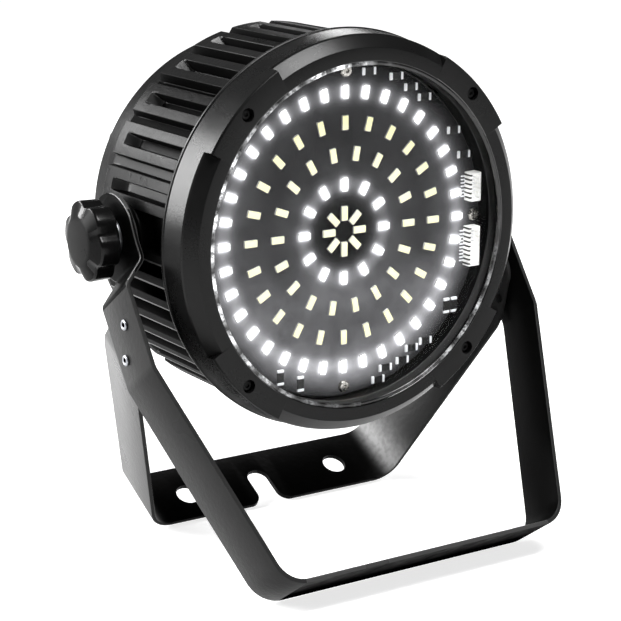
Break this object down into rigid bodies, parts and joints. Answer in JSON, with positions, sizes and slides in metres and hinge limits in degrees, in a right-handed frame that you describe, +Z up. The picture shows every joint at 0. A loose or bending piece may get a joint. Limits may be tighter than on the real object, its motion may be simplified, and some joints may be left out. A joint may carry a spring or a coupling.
{
  "type": "strobe light",
  "caption": "Round stage strobe with concentric rings of LEDs behind a clear window, a ribbed housing, tilt knobs and a double U bracket that stands or hangs.",
  "frame": {"origin": "floor level, centre of the bounding box's footprint", "axes": "+X along the tilt axis towards the right-hand knob of someone facing the light, -Y the way the light shines, +Z up"},
  "size_m": [0.214, 0.1746, 0.227],
  "materials": {
    "body_plastic": "satin moulded black",
    "fitting_plastic": "fine-grained black",
    "knob_plastic": "satin black",
    "clear_window": "clear polished",
    "display_tint": "dark tinted gloss",
    "rubber_black": "matt black",
    "led_board_grey": "solder mask with light packages",
    "board_green": "solder mask",
    "connector_white": "ivory moulded",
    "black_steel": "satin black powder coat",
    "zinc_steel": "zinc plated",
    "nickel": "nickel plated",
    "brass": "turned"
  },
  "bodies": {
    "yoke": {"front_bracket": "black_steel", "rear_bracket": "black_steel", "knob_washer_right": "zinc_steel", "bracket_rivet_right_1": "zinc_steel", "bracket_rivet_right_2": "zinc_steel", "knob_washer_left": "zinc_steel", "bracket_rivet_left_1": "zinc_steel", "bracket_rivet_left_2": "zinc_steel"},
    "head": {"front_bezel": "body_plastic", "front_window": "clear_window", "window_gasket": "rubber_black", "led_board": "led_board_grey", "board_connector_upper": "connector_white", "board_connector_lower": "connector_white", "board_carrier": "black_steel", "rear_housing": "body_plastic", "driver_board": "board_green", "rear_panel": "black_steel", "display_window": "display_tint", "display_board": "board_green", "mains_inlet": "fitting_plastic", "fuse_holder": "fitting_plastic", "fuse_cap": "fitting_plastic", "dmx_input": "nickel", "dmx_output": "nickel", "safety_eyelet": "zinc_steel", "bezel_screw_1": "zinc_steel", "bezel_screw_2": "zinc_steel", "bezel_screw_3": "zinc_steel", "bezel_screw_4": "zinc_steel", "board_screw_1": "nickel", "board_screw_2": "nickel", "board_screw_3": "nickel", "board_screw_4": "nickel", "panel_screw_1": "zinc_steel", "panel_screw_2": "zinc_steel", "panel_screw_3": "zinc_steel", "panel_screw_4": "zinc_steel", "driver_pillar_1": "brass", "driver_pillar_2": "brass", "driver_pillar_3": "brass", "driver_pillar_4": "brass", "rear_foot_1": "rubber_black", "rear_foot_2": "rubber_black", "rear_foot_3": "rubber_black", "rear_foot_4": "rubber_black", "pivot_insert_right": "brass", "friction_washer_right": "rubber_black", "pivot_insert_left": "brass", "friction_washer_left": "rubber_black"},
    "knob_left": {"knob_left": "knob_plastic", "knob_stud_left": "zinc_steel"},
    "knob_right": {"knob_right": "knob_plastic", "knob_stud_right": "zinc_steel"},
    "dmx_latch": {"dmx_latch": "nickel"},
    "menu_button_1": {"menu_button_1": "fitting_plastic"},
    "menu_button_2": {"menu_button_2": "fitting_plastic"},
    "menu_button_3": {"menu_button_3": "fitting_plastic"},
    "menu_button_4": {"menu_button_4": "fitting_plastic"}
  },
  "joints": [
    {"name": "head_tilt", "type": "hinge", "parent": "yoke", "child": "head", "pos_m": [0, 0.02215, 0.14], "axis": [1, 0, 0], "range_deg": [-90, 90]},
    {"name": "knob_left_turn", "type": "hinge", "parent": "head", "child": "knob_left", "pos_m": [-0.099, 0.02215, 0.14], "axis": [-1, 0, 0], "range_deg": [0, 360]},
    {"name": "knob_right_turn", "type": "hinge", "parent": "head", "child": "knob_right", "pos_m": [0.099, 0.02215, 0.14], "axis": [1, 0, 0], "range_deg": [0, 360]},
    {"name": "dmx_latch_press", "type": "slide", "parent": "head", "child": "dmx_latch", "axis": [0, -1, 0], "range_m": [0, 0.0012], "stiffness_N_per_m": 400},
    {"name": "menu_button_1_press", "type": "slide", "parent": "head", "child": "menu_button_1", "axis": [0, -1, 0], "range_m": [0, 0.001], "stiffness_N_per_m": 300},
    {"name": "menu_button_2_press", "type": "slide", "parent": "head", "child": "menu_button_2", "axis": [0, -1, 0], "range_m": [0, 0.001], "stiffness_N_per_m": 300},
    {"name": "menu_button_3_press", "type": "slide", "parent": "head", "child": "menu_button_3", "axis": [0, -1, 0], "range_m": [0, 0.001], "stiffness_N_per_m": 300},
    {"name": "menu_button_4_press", "type": "slide", "parent": "head", "child": "menu_button_4", "axis": [0, -1, 0], "range_m": [0, 0.001], "stiffness_N_per_m": 300}
  ]
}
